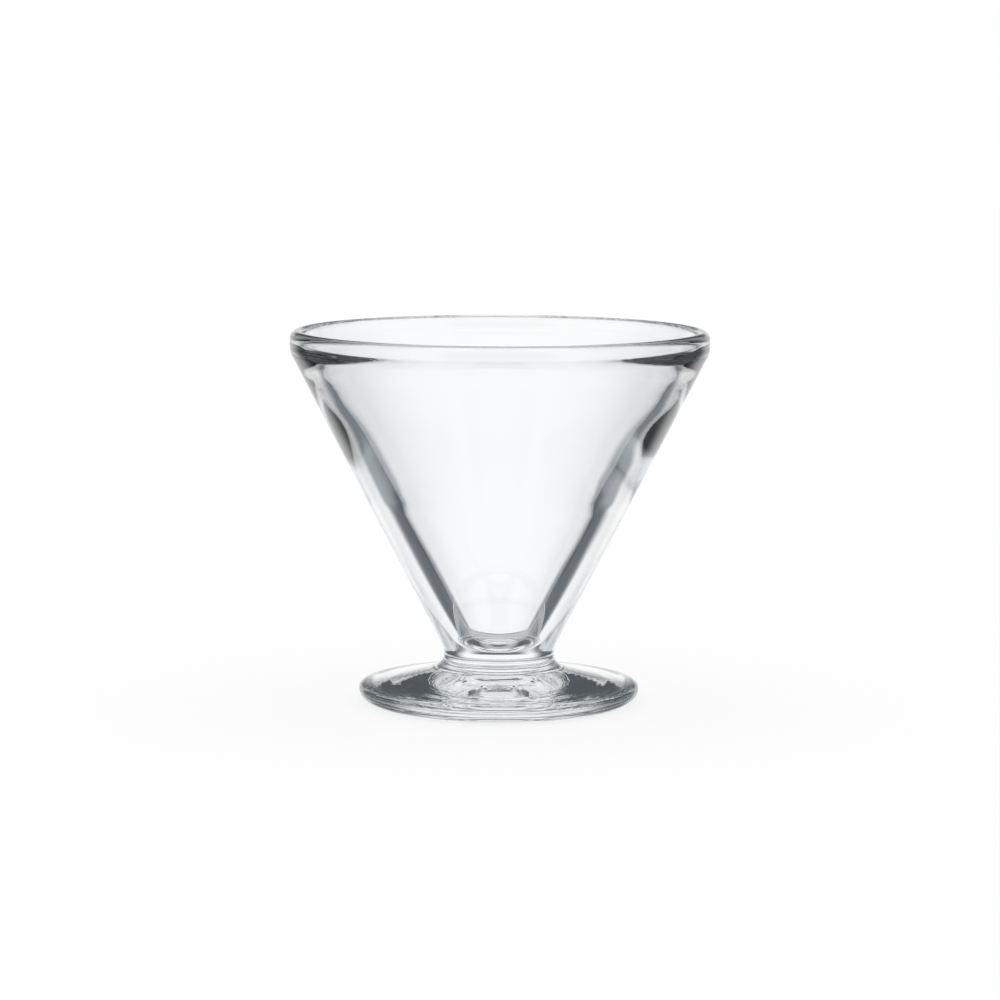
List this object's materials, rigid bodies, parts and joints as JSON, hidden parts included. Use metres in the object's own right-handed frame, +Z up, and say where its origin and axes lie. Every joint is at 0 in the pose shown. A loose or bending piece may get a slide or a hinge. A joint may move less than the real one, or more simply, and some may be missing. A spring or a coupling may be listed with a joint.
{
  "type": "ice cream coupe",
  "caption": "Small thick-walled conical dessert coupe of clear pressed glass with a rounded lip, a short drawn-in neck and a low round foot.",
  "frame": {"origin": "centre of the foot on the surface that the coupe stands on", "axes": "+Z up along the axis of turning, towards the mouth; X and Y are free because the coupe is round"},
  "size_m": [0.1076, 0.1076, 0.0962],
  "materials": {
    "bowl_glass": "clear, fire-polished, slightly wavy pressed glass",
    "neck_glass": "clear, fire-polished pressed glass",
    "foot_glass": "clear pressed glass with faint ring-shaped mould ripples"
  },
  "bodies": {
    "root": {"bowl": "bowl_glass", "neck": "neck_glass", "foot": "foot_glass"}
  },
  "joints": []
}
